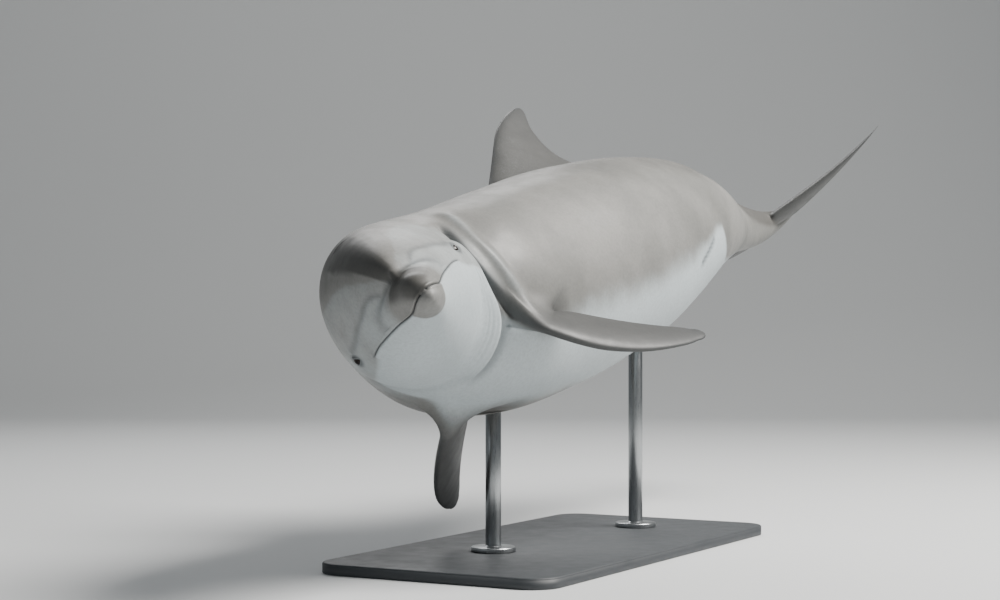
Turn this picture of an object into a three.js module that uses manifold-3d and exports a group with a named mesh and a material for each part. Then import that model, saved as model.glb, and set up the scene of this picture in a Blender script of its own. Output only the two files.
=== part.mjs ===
// A bottlenose dolphin, life size, still in a banked swimming turn on a plain museum stand.
// Millimetres, +Z up. The snout points towards -Y and the tail goes back to +Y and +X.
// The origin is the middle of the underside of stand_base, where the model rests on the floor.
//
// The body is drawn straight first: AT is the distance behind the tip of the upper jaw, SIDE is
// towards the animal's left and HEIGHT is towards its back. Then it is bent along its spine.

import * as THREE from "three";
import Module from "manifold-3d";

const wasm = await Module();
wasm.setup();
const { Manifold, Mesh } = wasm;

// ---- Driving sizes ---------------------------------------------------------------------------

const GAP = 0.3; // between any two pieces
const LENGTH = 2400; // tip of the upper jaw to the notch of the flukes

// Melon, trunk and tail stock: half width, back and belly, measured from the spine line.
const TRUNK = [
  { at: 88, half: 116, back: 150, belly: -70 }, // front of the melon, where a dome closes it
  { at: 335, half: 139.5, back: 170.5, belly: -128.5 }, // eyes and blowhole
  { at: 430, half: 155, back: 187, belly: -150 }, // neck
  { at: 564, half: 196, back: 200, belly: -196 }, // roots of the flippers
  { at: 802, half: 224, back: 220, belly: -228 }, // chest
  { at: 1049, half: 224, back: 231, belly: -227 }, // front of the dorsal fin
  { at: 1306, half: 194.7, back: 213.3, belly: -203 }, // rear of the dorsal fin
  { at: 1563, half: 140.8, back: 182.3, belly: -149 }, // vent
  { at: 1829, half: 81.9, back: 134.1, belly: -101 }, // tail stock
  { at: 2067, half: 43.4, back: 76.7, belly: -63.6 },
  { at: 2257, half: 26, back: 30, belly: -28 }, // roots of the flukes
  { at: LENGTH, half: 10, back: 9, belly: -9 }, // notch of the flukes
];

// The dome that closes the melon: how far back it reaches, and the powers of its curve.
const MELON = {
  front: 88,
  lift: 46, // height of its foremost point
  liftFades: 170,
  half: { reach: 290, turn: 1.75, round: 1.75 },
  back: { reach: 240, turn: 2, round: 2.1 },
  belly: { reach: 250, turn: 2, round: 1.6 },
};

// The beak: a blunt tip, then straight flaring sides that run on into the cheeks.
const BEAK = {
  tip: -7, // the lower jaw stands this far ahead of the upper one
  end: 400,
  half: { size: 23, flare: 0.31, reach: 40, starts: -7 },
  top: { size: 32, flare: 0.17, reach: 40, starts: 0 },
  chin: { size: 36, flare: 0.22, reach: 45, starts: -7 },
  crease: 12, // how softly beak and melon run together
};

// Height of the line about which every cross-section is drawn.
const CORE_AT = [-7, 20, 90, 160, 300];
const CORE_HEIGHT = [-14, -6, 2, 8, 0];

// How the spine bends, in radians a metre: towards the belly, towards the left, and its twist.
const BEND_AT = [350, 600, 900, 1300, 1700, 2000, 2200, 2450];
const BEND_DOWN = [3.07, -0.15, 0.13, -0.13, 0.03, 0.69, -1.25, -0.99];
const BEND_LEFT = [3.13, 0.94, 0.34, -0.21, -0.97, 0.68, 1.47, -0.39];
const TWIST = [1.16, -1.35, 0.78, 0.1, 0.11, 0.43, 0.44, -0.37];

// Where the head is and how it is held: it faces -Y, turned, raised and banked by these degrees.
const SNOUT = new THREE.Vector3(-254, -918, 549);
const HEAD_TURN = 6.6;
const HEAD_RAISE = 4.6;
const HEAD_BANK = 49;

// Mouth: the height of its line at each station, from ahead of the tip back to the corners.
const MOUTH_LINE = [
  { at: -30, height: 0 },
  { at: 0, height: -1 },
  { at: 25, height: -9 },
  { at: 55, height: -12 },
  { at: 110, height: -8.5 },
  { at: 180, height: -6.5 },
  { at: 230, height: -8 },
  { at: 258, height: -12 },
];
const MOUTH = { start: -30, corner: 258, steps: 18, width: 420, depth: 260 };
const BEAK_CUT = 104; // the beak is parted from the melon in its crease
const HEAD_CUT = 440; // the head is parted behind the throat
const STOCK_CUT = 1640; // the tail stock is parted behind the vent

const EYE = { at: 330, height: 6, radius: 15, sunk: 10, turns: 16 };

// Dorsal fin: its front and rear edge at each height above the spine line.
const DORSAL = [
  { height: 150, front: 975, rear: 1500 },
  { height: 215, front: 1040, rear: 1478 },
  { height: 260, front: 1098, rear: 1425 },
  { height: 310, front: 1165, rear: 1402 },
  { height: 360, front: 1232, rear: 1408 },
  { height: 405, front: 1297, rear: 1436 },
  { height: 432, front: 1350, rear: 1464 },
  { height: 445, front: 1400, rear: 1470 },
];
const DORSAL_THICK = 0.13; // thickness over chord

// Flippers: half span of the blade's chord and its bow, by share of the reach.
const FLIPPER = {
  at: 565,
  side: 120,
  height: -160,
  reach: 392,
  start: -0.12,
  bow: 34,
  thick: 0.2,
  tip: 2.5,
};
const FLIPPER_SHARE = [-0.12, 0, 0.2, 0.4, 0.6, 0.8, 0.92, 0.985];
const FLIPPER_CHORD = [118, 125, 129, 119, 99, 70, 44, 16];
// Directions in the body: backwards, to the left and upwards. The blade's chord turns to lie along
// the body where it joins it.
const LEFT_POSE = { reach: [0.77, 0.31, -0.52], chord: [0.69, 0.04, 0.71] };
const RIGHT_POSE = { reach: [0.73, -0.68, -0.055], chord: [0.62, 0.71, 0.31] };
const FLIPPER_ROOT = { chord: [0.98, 0, 0.2], until: 0.35 };

// Flukes: swept front edge, hollow rear edge and tips bent a little towards the back.
const FLUKE = {
  span: 335,
  front: 2185,
  sweep: 250,
  sweepPower: 1.25,
  hollow: 20,
  rake: 15,
  lobe: 20,
  notch: 18,
  rise: 14,
  thick: 0.14,
  thin: 5,
};

// Stand: a plain plate on the floor, with two upright rods that stop at the belly.
const PLATE = { length: 1100, width: 520, height: 22, corner: 60, edge: 4, turn: 61 };
const ROD = { radius: 16, sides: 32, fronts: [790, 1370] };
const FOOT = { radius: 46, height: 10 };

const RINGS = [
  { to: 30, count: 6 },
  { to: 120, count: 8 },
  { to: 450, count: 13 },
  { to: LENGTH, count: 29 },
];
const RING_POINTS = 36;
const BLADE_POINTS = 14;
const BLADE_RINGS = 13;
const SPINE_STEP = 10;

// ---- Curves ----------------------------------------------------------------------------------

const clamp = THREE.MathUtils.clamp;
const radians = THREE.MathUtils.degToRad;

// Straight lines through the points (xs, ys), level beyond both ends.
function along(x, xs, ys) {
  const last = xs.length - 1;
  if (x <= xs[0]) return ys[0];
  if (x >= xs[last]) return ys[last];
  const i = xs.findIndex((edge) => edge > x) - 1;
  return ys[i] + ((ys[i + 1] - ys[i]) * (x - xs[i])) / (xs[i + 1] - xs[i]);
}

// The natural cubic spline through the points (xs, ys), level beyond both ends.
function splineThrough(xs, ys) {
  const last = xs.length - 1;
  const bend = new Array(last + 1).fill(0);
  const rest = new Array(last + 1).fill(0);
  for (let i = 1; i < last; i++) {
    const before = xs[i] - xs[i - 1];
    const after = xs[i + 1] - xs[i];
    const kink = (ys[i + 1] - ys[i]) / after - (ys[i] - ys[i - 1]) / before;
    const pivot = 2 * (before + after) - before * rest[i - 1];
    rest[i] = after / pivot;
    bend[i] = (6 * kink - before * bend[i - 1]) / pivot;
  }
  for (let i = last - 1; i > 0; i--) bend[i] -= rest[i] * bend[i + 1];
  return (x) => {
    const inside = clamp(x, xs[0], xs[last]);
    const i = Math.max(xs.findIndex((edge) => edge >= inside) - 1, 0);
    const step = xs[i + 1] - xs[i];
    const a = (xs[i + 1] - inside) / step;
    const b = 1 - a;
    const curve = ((a ** 3 - a) * bend[i] + (b ** 3 - b) * bend[i + 1]) * (step * step) / 6;
    return a * ys[i] + b * ys[i + 1] + curve;
  };
}

// 0 at the start of a rounded end, 1 where its full size is reached.
function dome(share, turn, round) {
  return (1 - (1 - clamp(share, 0, 1)) ** turn) ** (1 / round);
}

const column = (rows, key) => splineThrough(rows.map((r) => r.at), rows.map((r) => r[key]));
const trunkHalf = column(TRUNK, "half");
const trunkBack = column(TRUNK, "back");
const trunkBelly = column(TRUNK, "belly");

// ---- The straight body -----------------------------------------------------------------------

// Half width, top and bottom of the trunk with its melon; null ahead of the melon.
function trunkAt(at) {
  if (at <= MELON.front) return null;
  const behind = at - MELON.front;
  const lift = MELON.lift * clamp(1 - behind / MELON.liftFades, 0, 1) ** 1.5;
  const closing = ({ reach, turn, round }) => dome(behind / reach, turn, round);
  return {
    half: trunkHalf(at) * closing(MELON.half),
    top: lift + (trunkBack(at) - lift) * closing(MELON.back),
    bottom: lift + (trunkBelly(at) - lift) * closing(MELON.belly),
  };
}

// Half width, top and bottom of the beak; null behind the cheeks.
function beakAt(at) {
  if (at >= BEAK.end) return null;
  const ahead = Math.max(at, 0);
  const size = ({ size, flare, reach, starts }, blunt) =>
    size * blunt((at - starts) / reach) + flare * ahead;
  const rounded = (share) => dome(share, 2, 2);
  const width = (BEAK.half.size + BEAK.half.flare * ahead)
    * rounded((at - BEAK.half.starts) / BEAK.half.reach);
  return { half: width, top: size(BEAK.top, rounded), bottom: -size(BEAK.chin, rounded) };
}

// Distance from the core to the oval {half, top, bottom} in the direction of the angle.
function ovalRadius(oval, core, angle) {
  if (!oval) return 0;
  const height = Math.sin(angle) >= 0 ? oval.top - core : core - oval.bottom;
  const across = Math.cos(angle) / Math.max(oval.half, 1e-3);
  const up = Math.sin(angle) / Math.max(height, 1e-3);
  return 1 / Math.hypot(across, up);
}

// The skin point of the straight body at this station and angle, grown outwards by grow.
function outline(at, angle, grow = 0) {
  const core = along(at, CORE_AT, CORE_HEIGHT);
  const trunk = ovalRadius(trunkAt(at), core, angle);
  const beak = ovalRadius(beakAt(at), core, angle);
  const meet = trunk > 0 && beak > 0 ? Math.exp(-Math.abs(trunk - beak) / BEAK.crease) : 0;
  const fade = clamp((BEAK.end - at) / 80, 0, 1);
  const radius = Math.max(trunk, beak) + 0.5 * BEAK.crease * meet * fade + grow;
  return { side: radius * Math.cos(angle), height: core + radius * Math.sin(angle) };
}

// The mouth line in short straight steps, so that every piece that meets along it has the same edge.
const MOUTH_AT = Array.from({ length: MOUTH.steps + 1 }, (_, i) =>
  MOUTH.start + ((MOUTH.corner - MOUTH.start) * i) / MOUTH.steps);
const MOUTH_HEIGHT = MOUTH_AT.map(column(MOUTH_LINE, "height"));

// ---- The spine -------------------------------------------------------------------------------

// The head's own directions: back, left and up are unit vectors, left-handed in that order.
function headFrame() {
  const turn = radians(HEAD_TURN);
  const raise = radians(HEAD_RAISE);
  const bank = radians(HEAD_BANK);
  const facing = new THREE.Vector3(
    Math.sin(turn) * Math.cos(raise),
    -Math.cos(turn) * Math.cos(raise),
    Math.sin(raise),
  );
  const level = new THREE.Vector3(0, 0, 1).cross(facing).normalize();
  const upright = facing.clone().cross(level);
  const left = level.clone().multiplyScalar(Math.cos(bank));
  left.addScaledVector(upright, Math.sin(bank));
  const up = upright.clone().multiplyScalar(Math.cos(bank));
  up.addScaledVector(level, -Math.sin(bank));
  return { back: facing.negate(), left, up };
}

// The spine in steps: each holds its point and its three directions.
function bendSpine() {
  let { back, left, up } = headFrame();
  let point = SNOUT.clone().addScaledVector(back, BEAK.tip - SPINE_STEP);
  const steps = [{ point, back, left, up }];
  for (let at = BEAK.tip - SPINE_STEP; at < LENGTH + 150; at += SPINE_STEP) {
    const middle = at + SPINE_STEP / 2;
    const share = middle < BEND_AT[0] ? 0 : SPINE_STEP / 1000;
    const down = share * along(middle, BEND_AT, BEND_DOWN);
    const side = share * along(middle, BEND_AT, BEND_LEFT);
    const twist = share * along(middle, BEND_AT, TWIST);
    // one turn about an axis built from the three small angles
    const axis = new THREE.Vector3();
    axis.addScaledVector(back, twist).addScaledVector(left, -down).addScaledVector(up, -side);
    const angle = axis.length();
    const turned = (v) => (angle ? v.clone().applyAxisAngle(axis.clone().normalize(), angle) : v);
    const next = turned(back);
    point = point.clone().addScaledVector(back, SPINE_STEP / 2).addScaledVector(next, SPINE_STEP / 2);
    left = turned(left);
    up = turned(up);
    back = next;
    steps.push({ point, back, left, up });
  }
  return steps;
}

const SPINE = bendSpine();

// The spine's point and directions at a station.
function spineAt(at) {
  const place = (at - BEAK.tip + SPINE_STEP) / SPINE_STEP;
  const i = clamp(Math.floor(place), 0, SPINE.length - 2);
  const share = place - i;
  const blend = (key) => SPINE[i][key].clone().lerp(SPINE[i + 1][key], share);
  return { point: blend("point"), back: blend("back"), left: blend("left"), up: blend("up") };
}

// A point of the straight body, taken to its place in the bent one.
function place(at, side, height) {
  const { point, left, up } = spineAt(at);
  return point.addScaledVector(left, side).addScaledVector(up, height);
}

// ---- Solids ----------------------------------------------------------------------------------

// A closed solid from points and triangles, turned outwards whichever way its faces run.
function solid(points, triangles) {
  let volume = 0;
  for (const [a, b, c] of triangles) {
    volume += points[a].dot(points[b].clone().cross(points[c]));
  }
  const faces = volume < 0 ? triangles.map(([a, b, c]) => [a, c, b]) : triangles;
  return new Manifold(new Mesh({
    numProp: 3,
    vertProperties: new Float32Array(points.flatMap((p) => p.toArray())),
    triVerts: new Uint32Array(faces.flat()),
  }));
}

// The solid skinned over rings of equally many points, each end closed about its own middle.
function loft(rings) {
  const count = rings[0].length;
  const points = rings.flat();
  const triangles = [];
  for (let i = 0; i + 1 < rings.length; i++) {
    for (let j = 0; j < count; j++) {
      const a = i * count + j;
      const b = i * count + ((j + 1) % count);
      triangles.push([a, b, b + count], [a, b + count, a + count]);
    }
  }
  const close = (ring, start, flip) => {
    const middle = new THREE.Vector3();
    ring.forEach((p) => middle.addScaledVector(p, 1 / count));
    points.push(middle);
    for (let j = 0; j < count; j++) {
      const next = (j + 1) % count;
      const [a, b] = flip ? [start + next, start + j] : [start + j, start + next];
      triangles.push([a, points.length - 1, b]);
    }
  };
  close(rings[0], 0, false);
  close(rings[rings.length - 1], (rings.length - 1) * count, true);
  return solid(points, triangles);
}

const largest = (made) =>
  made.decompose().reduce((best, one) => (one.volume() > best.volume() ? one : best));

const angles = (count) => Array.from({ length: count }, (_, i) => (2 * Math.PI * i) / count);

// The stations of the body's rings, closer together at the snout.
function ringStations() {
  const stations = [BEAK.tip + 0.4];
  for (const { to, count } of RINGS) {
    const from = stations[stations.length - 1];
    for (let i = 1; i <= count; i++) stations.push(from + ((to - from) * i) / count);
  }
  return stations;
}

function body(grow) {
  return loft(ringStations().map((at) =>
    angles(RING_POINTS).map((angle) => {
      const { side, height } = outline(at, angle, grow);
      return place(at, side, height);
    })));
}

// A thin wall across the body, to part it at one station.
function partingWall(at) {
  const reach = 400;
  const rings = [-GAP / 2, GAP / 2].map((offset) => {
    const { point, back, left, up } = spineAt(at);
    point.addScaledVector(back, offset);
    return angles(4).map((angle) => point.clone()
      .addScaledVector(left, reach * Math.cos(angle))
      .addScaledVector(up, reach * Math.sin(angle)));
  });
  return loft(rings);
}

// All that lies ahead of a station between the mouth line, moved by shift, and the height far.
function mouthBlock(toStation, shift, far) {
  const stations = [...MOUTH_AT.filter((at) => at < toStation), toStation];
  return loft(stations.map((at) => {
    const line = along(at, MOUTH_AT, MOUTH_HEIGHT) + shift;
    return [
      place(at, -MOUTH.width, line),
      place(at, MOUTH.width, line),
      place(at, MOUTH.width, far),
      place(at, -MOUTH.width, far),
    ];
  }));
}

// An airfoil ring: point(x) gives the place on the chord at share x, and normal the flat's normal.
function foil(point, normal, thickness) {
  return angles(BLADE_POINTS).map((angle) => {
    const share = (1 - Math.cos(angle)) / 2;
    const lift = (thickness / 2) * Math.sin(angle) * (1 + 0.35 * Math.cos(angle));
    return point(share).addScaledVector(normal, lift);
  });
}

function dorsalFin() {
  const heights = DORSAL.map((r) => r.height);
  const front = splineThrough(heights, DORSAL.map((r) => r.front));
  const rear = splineThrough(heights, DORSAL.map((r) => r.rear));
  const foot = heights[0];
  const tip = heights[heights.length - 1];
  const rings = [];
  for (let share = 0; share < 1.001; share += 1 / BLADE_RINGS) {
    const height = foot + (tip - foot) * (1 - (1 - share) ** 1.5);
    const chord = rear(height) - front(height);
    const normal = spineAt(front(height) + chord / 2).left;
    rings.push(foil((x) => place(front(height) + chord * x, 0, height), normal, DORSAL_THICK * chord));
  }
  return loft(rings);
}

function flipper(pose, sign) {
  const { point, back, left, up } = spineAt(FLIPPER.at);
  const root = point.addScaledVector(left, sign * FLIPPER.side).addScaledVector(up, FLIPPER.height);
  const toWorld = ([b, l, u]) => new THREE.Vector3()
    .addScaledVector(back, b).addScaledVector(left, l).addScaledVector(up, u);
  const reach = toWorld(pose.reach).normalize();
  const bladeChord = toWorld(pose.chord).normalize();
  const rootChord = toWorld(FLIPPER_ROOT.chord).normalize();
  const chordAt = splineThrough(FLIPPER_SHARE, FLIPPER_CHORD);
  const first = FLIPPER_SHARE[0];
  const last = FLIPPER_SHARE[FLIPPER_SHARE.length - 1];
  const rings = [];
  for (let step = 0; step < 1.001; step += 1 / BLADE_RINGS) {
    const share = first + (last - first) * (1 - (1 - step) ** 1.4);
    const width = chordAt(share);
    const turned = THREE.MathUtils.smoothstep(share, 0, FLIPPER_ROOT.until);
    const chord = rootChord.clone().lerp(bladeChord, turned).normalize();
    const normal = reach.clone().cross(chord).normalize();
    const middle = -FLIPPER.bow * Math.sin(Math.PI * clamp(share, 0, 1));
    const thickness = width * FLIPPER.thick * (1 - 0.45 * clamp(share, 0, 1)) + FLIPPER.tip;
    const spot = (x) => root.clone()
      .addScaledVector(reach, FLIPPER.reach * share)
      .addScaledVector(chord, middle + width * (x - 0.5));
    rings.push(foil(spot, normal, thickness));
  }
  return loft(rings);
}

function fluke(sign) {
  const rings = [];
  for (let step = 0; step < 1.001; step += 1 / BLADE_RINGS) {
    const out = 1 - (1 - step) ** 1.5;
    const side = sign * Math.max(FLUKE.span * out * 0.985, GAP / 2);
    const front = FLUKE.front + FLUKE.sweep * (out * 0.985) ** FLUKE.sweepPower;
    const lobe = FLUKE.lobe * (1 - Math.exp((-out * FLUKE.span) / FLUKE.notch));
    const rear = LENGTH + lobe + FLUKE.hollow * Math.sin(Math.PI * out) + FLUKE.rake * out ** 2;
    const chord = rear - front;
    const height = FLUKE.rise * out ** 2;
    const normal = spineAt(front + chord / 2).up;
    const thickness = FLUKE.thick * chord * (1 - 0.3 * out) + FLUKE.thin * (1 - out);
    rings.push(foil((x) => place(front + chord * x, side, height), normal, thickness));
  }
  return loft(rings);
}

// The eyeball, part way out of the head, on the left for sign 1 and on the right for -1.
function eyeball(sign, grow) {
  const rightWay = (angle) => (sign > 0 ? angle : Math.PI - angle);
  const surface = outline(EYE.at, rightWay(Math.atan2(EYE.height, trunkHalf(EYE.at))));
  const middle = place(EYE.at, surface.side - sign * EYE.sunk, surface.height);
  const ball = new THREE.SphereGeometry(EYE.radius + grow, EYE.turns, EYE.turns / 2);
  const points = [];
  const position = ball.getAttribute("position");
  const keys = new Map();
  const index = Array.from({ length: position.count }, (_, i) => {
    const p = new THREE.Vector3().fromBufferAttribute(position, i);
    const key = p.toArray().map((n) => n.toFixed(3)).join(" ").replaceAll("-0.000", "0.000");
    if (!keys.has(key)) {
      keys.set(key, points.length);
      points.push(p.add(middle));
    }
    return keys.get(key);
  });
  const faces = Array.from({ length: ball.index.count / 3 }, (_, i) =>
    [0, 1, 2].map((k) => index[ball.index.getX(3 * i + k)]));
  return solid(points, faces);
}

// An upright round bar from the height low to the height high.
function bar(x, y, radius, low, high) {
  return loft([low, high].map((z) => angles(ROD.sides).map((angle) =>
    new THREE.Vector3(x + radius * Math.cos(angle), y + radius * Math.sin(angle), z))));
}

// The floor plate: a rounded oblong whose upper edge is eased.
function plate() {
  const corners = (inset) => angles(48).map((angle) => {
    const spread = (n, size) => Math.sign(Math.round(n * 1e6)) * (size / 2 - PLATE.corner);
    const radius = PLATE.corner - inset;
    const x = spread(Math.cos(angle), PLATE.length) + radius * Math.cos(angle);
    const y = spread(Math.sin(angle), PLATE.width) + radius * Math.sin(angle);
    return new THREE.Vector3(x, y, 0).applyAxisAngle(new THREE.Vector3(0, 0, 1), radians(PLATE.turn));
  });
  const levels = [[0, 0], [PLATE.height - PLATE.edge, 0], [PLATE.height, PLATE.edge]];
  return loft(levels.map(([z, inset]) => corners(inset).map((p) => p.setZ(z))));
}

// ---- Putting it together ---------------------------------------------------------------------

const whole = body(0);
const clearance = body(GAP);
const eyes = { eye_left: eyeball(1, 0), eye_right: eyeball(-1, 0) };
const sockets = eyeball(1, GAP).add(eyeball(-1, GAP));
const parted = whole.subtract(sockets);

const half = GAP / 2;
const lowerJaw = parted.intersect(mouthBlock(MOUTH.corner, -half, -MOUTH.depth));
const upperJaw = parted.intersect(mouthBlock(BEAK_CUT, half, MOUTH.depth));
const rest = parted
  .subtract(mouthBlock(MOUTH.corner + GAP, half, -MOUTH.depth))
  .subtract(mouthBlock(BEAK_CUT + GAP, -half, MOUTH.depth));
const walls = [HEAD_CUT, STOCK_CUT].map(partingWall);
const lengths = walls.reduce((made, wall) => made.subtract(wall), rest).decompose();
const middleY = (made) => (made.boundingBox().min[1] + made.boundingBox().max[1]) / 2;
const [head, trunk, tailStock] = lengths
  .sort((a, b) => b.volume() - a.volume())
  .slice(0, 3)
  .sort((a, b) => middleY(a) - middleY(b));

const shapes = {
  upper_jaw: largest(upperJaw),
  lower_jaw: largest(lowerJaw),
  head,
  trunk,
  tail_stock: tailStock,
  ...eyes,
  dorsal_fin: largest(dorsalFin().subtract(clearance)),
  flipper_left: largest(flipper(LEFT_POSE, 1).subtract(clearance)),
  flipper_right: largest(flipper(RIGHT_POSE, -1).subtract(clearance)),
  fluke_left: largest(fluke(1).subtract(clearance)),
  fluke_right: largest(fluke(-1).subtract(clearance)),
  stand_base: plate(),
};

["front", "rear"].forEach((name, i) => {
  const { x, y, z } = spineAt(ROD.fronts[i]).point;
  const floor = PLATE.height + GAP;
  shapes[`stand_foot_${name}`] = bar(x, y, FOOT.radius, floor, floor + FOOT.height);
  const rod = bar(x, y, ROD.radius, floor + FOOT.height + GAP, z);
  shapes[`stand_rod_${name}`] = largest(rod.subtract(clearance));
});

const FINISH = {
  skin: { color: 0x7d8a94, roughness: 0.4 },
  eye: { color: 0x1b1614, roughness: 0.1 },
  paint: { color: 0x2b2d2f, roughness: 0.6 },
  steel: { color: 0xa9adb0, roughness: 0.35, metalness: 1 },
};
const finishOf = (name) => {
  if (name.startsWith("eye_")) return FINISH.eye;
  if (name === "stand_base") return FINISH.paint;
  return name.startsWith("stand_") ? FINISH.steel : FINISH.skin;
};

const dolphin = new THREE.Group();
for (const [name, shape] of Object.entries(shapes)) {
  const { vertProperties, triVerts } = shape.getMesh();
  const geometry = new THREE.BufferGeometry();
  geometry.setAttribute("position", new THREE.BufferAttribute(vertProperties, 3));
  geometry.setIndex(new THREE.BufferAttribute(triVerts, 1));
  geometry.computeVertexNormals();
  const mesh = new THREE.Mesh(geometry, new THREE.MeshStandardMaterial(finishOf(name)));
  mesh.name = name;
  dolphin.add(mesh);
}

export default dolphin;
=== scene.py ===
"""A life-size bottlenose dolphin on a plain museum stand, laid out as an add-on and run as a script.

The animal is worked out straight, in millimetres, and then bent along its spine: AT runs back from
the tip of the upper jaw, SIDE to the animal's left and HEIGHT to its back. An angle of 0 degrees is
its left side, 90 its back, 180 its right side and -90 its belly.
"""

import bpy
import numpy as np
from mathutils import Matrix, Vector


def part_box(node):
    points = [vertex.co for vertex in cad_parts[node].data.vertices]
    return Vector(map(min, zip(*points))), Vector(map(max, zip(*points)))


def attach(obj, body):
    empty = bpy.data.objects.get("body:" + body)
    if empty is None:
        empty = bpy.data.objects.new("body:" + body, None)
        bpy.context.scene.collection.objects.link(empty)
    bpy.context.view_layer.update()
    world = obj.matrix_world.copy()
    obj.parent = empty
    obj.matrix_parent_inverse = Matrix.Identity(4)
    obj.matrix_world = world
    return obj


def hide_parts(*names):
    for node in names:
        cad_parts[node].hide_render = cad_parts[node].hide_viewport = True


bl_info = {
    "name": "Bottlenose dolphin on a stand",
    "version": (1, 0, 0),
    "blender": (4, 5, 0),
    "location": "3D Viewport > Sidebar > Dolphin",
    "description": "Makes a still, life-size bottlenose dolphin, its display stand and a plain studio",
    "category": "Add Mesh",
}

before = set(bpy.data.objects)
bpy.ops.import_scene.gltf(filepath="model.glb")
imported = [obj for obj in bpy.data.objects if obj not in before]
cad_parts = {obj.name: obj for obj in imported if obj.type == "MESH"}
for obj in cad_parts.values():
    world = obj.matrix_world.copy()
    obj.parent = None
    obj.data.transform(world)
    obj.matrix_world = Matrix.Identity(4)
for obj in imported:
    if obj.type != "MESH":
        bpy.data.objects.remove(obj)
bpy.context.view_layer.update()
MM = 0.001


# ---- Sizes of the animal ---------------------------------------------------------------------

LENGTH = 2400.0
BEAK_TIP = -7.0

# station, half width, back, belly
TRUNK = np.array([
    [88, 116, 150, -70],
    [335, 139.5, 170.5, -128.5],
    [430, 155, 187, -150],
    [564, 196, 200, -196],
    [802, 224, 220, -228],
    [1049, 224, 231, -227],
    [1306, 194.7, 213.3, -203],
    [1563, 140.8, 182.3, -149],
    [1829, 81.9, 134.1, -101],
    [2067, 43.4, 76.7, -63.6],
    [2257, 26, 30, -28],
    [LENGTH, 10, 9, -9],
])
MELON_FRONT = 88.0
CORE = np.array([[-7, -14], [20, -6], [90, 2], [160, 8], [300, 0]])
MOUTH = np.array([[-30, 0], [0, -1], [25, -9], [55, -12], [110, -8.5], [180, -6.5], [230, -8], [258, -12]])
MOUTH_CORNER = 258.0

# station, then radians a metre towards the belly, towards the left, and of twist
BEND = np.array([
    [350, 3.07, 3.13, 1.16],
    [600, -0.15, 0.94, -1.35],
    [900, 0.13, 0.34, 0.78],
    [1300, -0.13, -0.21, 0.1],
    [1700, 0.03, -0.97, 0.11],
    [2000, 0.69, 0.68, 0.43],
    [2200, -1.25, 1.47, 0.44],
    [2450, -0.99, -0.39, -0.37],
])
SNOUT = np.array([-254.0, -918.0, 549.0])
HEAD_ANGLES = np.radians([6.6, 4.6, 49.0])  # turned, raised and banked
STEP = 10.0

EYE_AT, EYE_HEIGHT, EYE_RADIUS, EYE_SUNK = 330.0, 6.0, 15.0, 10.0

# height, front edge, rear edge
DORSAL = np.array([
    [150, 975, 1500],
    [215, 1040, 1478],
    [260, 1098, 1425],
    [310, 1165, 1402],
    [360, 1232, 1408],
    [405, 1297, 1436],
    [432, 1346, 1474],
    [445, 1376, 1492],
])
DORSAL_THICK = 0.13

FLIPPER_AT, FLIPPER_SIDE, FLIPPER_HEIGHT, FLIPPER_REACH = 565.0, 120.0, -160.0, 392.0
FLIPPER_BOW, FLIPPER_THICK, FLIPPER_TIP = 34.0, 0.2, 2.5
# share of the reach, chord
FLIPPER_CHORD = np.array([
    [-0.12, 118], [0, 125], [0.2, 129], [0.4, 119], [0.6, 99], [0.8, 70], [0.92, 44], [0.985, 16],
])
FLIPPER_ROOT_CHORD, FLIPPER_ROOT_UNTIL = np.array([0.98, 0, 0.2]), 0.35
FLIPPER_POSES = {
    1: (np.array([0.77, 0.31, -0.52]), np.array([0.69, 0.04, 0.71])),
    -1: (np.array([0.73, -0.68, -0.055]), np.array([0.62, 0.71, 0.31])),
}

FLUKE_SPAN, FLUKE_FRONT, FLUKE_SWEEP, FLUKE_POWER = 335.0, 2185.0, 250.0, 1.25
FLUKE_HOLLOW, FLUKE_RAKE, FLUKE_LOBE, FLUKE_NOTCH = 20.0, 15.0, 20.0, 18.0
FLUKE_RISE, FLUKE_THICK, FLUKE_THIN = 14.0, 0.14, 5.0


# ---- Curves ----------------------------------------------------------------------------------


def spline(table, column=1):
    """Natural cubic spline through a column of a table over its first one, level beyond both ends."""
    xs, ys = table[:, 0].astype(float), table[:, column].astype(float)
    step = np.diff(xs)
    matrix = np.eye(len(xs))
    kinks = np.zeros(len(xs))
    inner = np.arange(1, len(xs) - 1)
    matrix[inner, inner - 1] = step[:-1]
    matrix[inner, inner] = 2 * (step[:-1] + step[1:])
    matrix[inner, inner + 1] = step[1:]
    kinks[inner] = 6 * np.diff(np.diff(ys) / step)
    bend = np.linalg.solve(matrix, kinks)

    def curve(x):
        x = np.clip(x, xs[0], xs[-1])
        i = np.clip(np.searchsorted(xs, x) - 1, 0, len(xs) - 2)
        a = (xs[i + 1] - x) / step[i]
        b = 1 - a
        cubic = ((a**3 - a) * bend[i] + (b**3 - b) * bend[i + 1]) * step[i] ** 2 / 6
        return a * ys[i] + b * ys[i + 1] + cubic

    return curve


def smooth(x, low, high):
    """0 below low and 1 above high, with a smooth rise between."""
    t = np.clip((x - low) / (high - low), 0, 1)
    return t * t * (3 - 2 * t)


def bell(x, width):
    """1 at x = 0, falling on both sides like a bell of the given half width."""
    return np.exp(-((x / width) ** 2))


def dome(share, turn=2.0, round_=2.0):
    """0 at the start of a rounded end and 1 where it reaches full size."""
    return (1 - (1 - np.clip(share, 0, 1)) ** turn) ** (1 / round_)


trunk_half, trunk_back, trunk_belly = (spline(TRUNK, c) for c in (1, 2, 3))
mouth_height = spline(MOUTH)


# ---- The straight body -----------------------------------------------------------------------


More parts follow.
